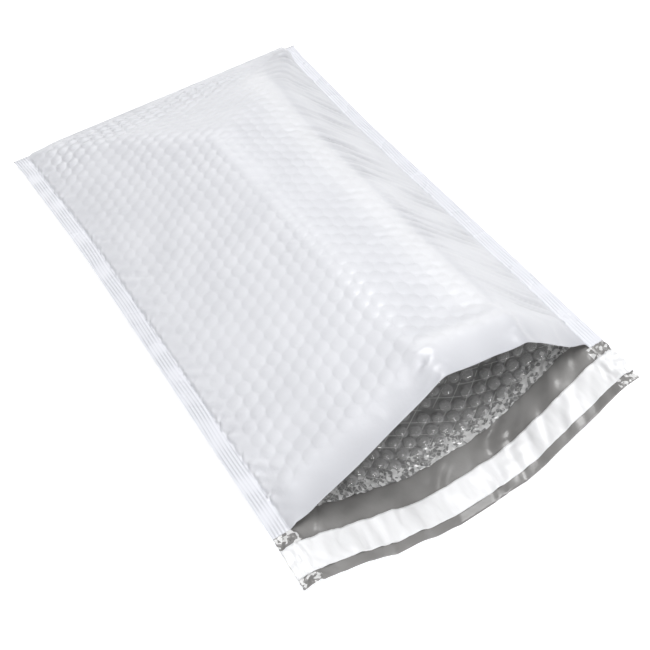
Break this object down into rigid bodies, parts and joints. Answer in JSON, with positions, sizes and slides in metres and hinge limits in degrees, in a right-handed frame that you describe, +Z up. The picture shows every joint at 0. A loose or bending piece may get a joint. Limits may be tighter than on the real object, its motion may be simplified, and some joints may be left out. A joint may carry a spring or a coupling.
{
  "type": "padded envelope",
  "caption": "Open padded mailing envelope: white film pouch with ribbed side seals, bubble lining, and a flap with an adhesive band under a peel-off strip.",
  "frame": {"origin": "on the ground plane, under the centre of the object's bounding box", "axes": "+Z up; +Y towards the folded closed end; -Y out of the mouth and along the flap; +X to the right when facing the closed end"},
  "size_m": [0.2654, 0.4412, 0.0969],
  "materials": {
    "white_film": "satin white outside, semi-gloss grey inside",
    "clear_bubble_film": "clear gloss",
    "hot_melt_adhesive": "tacky, slightly yellow",
    "release_film": "smooth satin white"
  },
  "bodies": {
    "root": {"outer_film": "white_film", "bubble_liner": "clear_bubble_film", "adhesive_strip": "hot_melt_adhesive", "release_liner": "release_film"}
  },
  "joints": []
}
